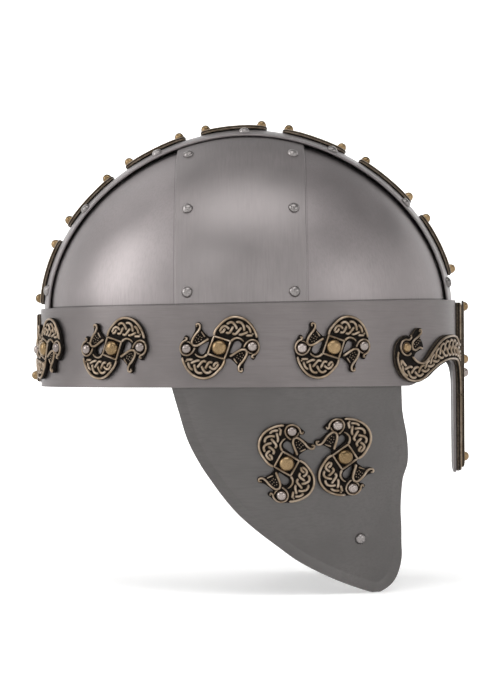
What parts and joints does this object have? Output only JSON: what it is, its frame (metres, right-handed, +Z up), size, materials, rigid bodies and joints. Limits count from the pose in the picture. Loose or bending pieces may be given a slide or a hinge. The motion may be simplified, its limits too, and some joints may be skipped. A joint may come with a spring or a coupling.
{
  "type": "norse iron helmet",
  "caption": "Banded iron helmet with a brow band, nasal, crest, hanging cheek guards and cast bronze serpent mounts; open below for the head.",
  "frame": {"origin": "middle of the head opening, level with the lower rim of the brow band, where the helmet sits on the head", "axes": "+X to the front, +Y to the wearer's left, +Z up through the crown"},
  "size_m": [0.2585, 0.2116, 0.2731],
  "materials": {
    "steel": "satin, fine brushed grain",
    "rivet_steel": "polished round heads",
    "bronze": "antiqued bronze, bright on the raised strands and near black in the recesses"
  },
  "bodies": {
    "root": {"brow_band": "steel", "cross_band": "steel", "crest_band": "steel", "panel_front_right": "steel", "panel_front_left": "steel", "panel_rear_right": "steel", "panel_rear_left": "steel", "cheek_guard_right": "steel", "cheek_guard_left": "steel", "nasal_mount": "bronze", "dragon_brow_right_1": "bronze", "dragon_brow_right_2": "bronze", "dragon_brow_right_3": "bronze", "dragon_brow_right_4": "bronze", "dragon_cheek_right_rear": "bronze", "dragon_cheek_right_front": "bronze", "dragon_brow_left_1": "bronze", "dragon_brow_left_2": "bronze", "dragon_brow_left_3": "bronze", "dragon_brow_left_4": "bronze", "dragon_cheek_left_rear": "bronze", "dragon_cheek_left_front": "bronze", "crest_plaque_1": "bronze", "crest_plaque_2": "bronze", "crest_plaque_3": "bronze", "crest_plaque_4": "bronze", "crest_plaque_5": "bronze", "crest_plaque_6": "bronze", "crest_plaque_7": "bronze", "back_plaque": "bronze", "rivet_cross_right_1": "rivet_steel", "rivet_cross_right_2": "rivet_steel", "rivet_cross_right_3": "rivet_steel", "rivet_cross_right_4": "rivet_steel", "rivet_cross_right_5": "rivet_steel", "rivet_cross_right_6": "rivet_steel", "rivet_crest_right_1": "rivet_steel", "rivet_crest_right_2": "rivet_steel", "rivet_crest_right_3": "rivet_steel", "rivet_crest_right_4": "rivet_steel", "rivet_crest_right_5": "rivet_steel", "rivet_crest_right_6": "rivet_steel", "rivet_crest_right_7": "rivet_steel", "rivet_chin_right": "rivet_steel", "rivet_cross_left_1": "rivet_steel", "rivet_cross_left_2": "rivet_steel", "rivet_cross_left_3": "rivet_steel", "rivet_cross_left_4": "rivet_steel", "rivet_cross_left_5": "rivet_steel", "rivet_cross_left_6": "rivet_steel", "rivet_crest_left_1": "rivet_steel", "rivet_crest_left_2": "rivet_steel", "rivet_crest_left_3": "rivet_steel", "rivet_crest_left_4": "rivet_steel", "rivet_crest_left_5": "rivet_steel", "rivet_crest_left_6": "rivet_steel", "rivet_crest_left_7": "rivet_steel", "rivet_chin_left": "rivet_steel"}
  },
  "joints": []
}
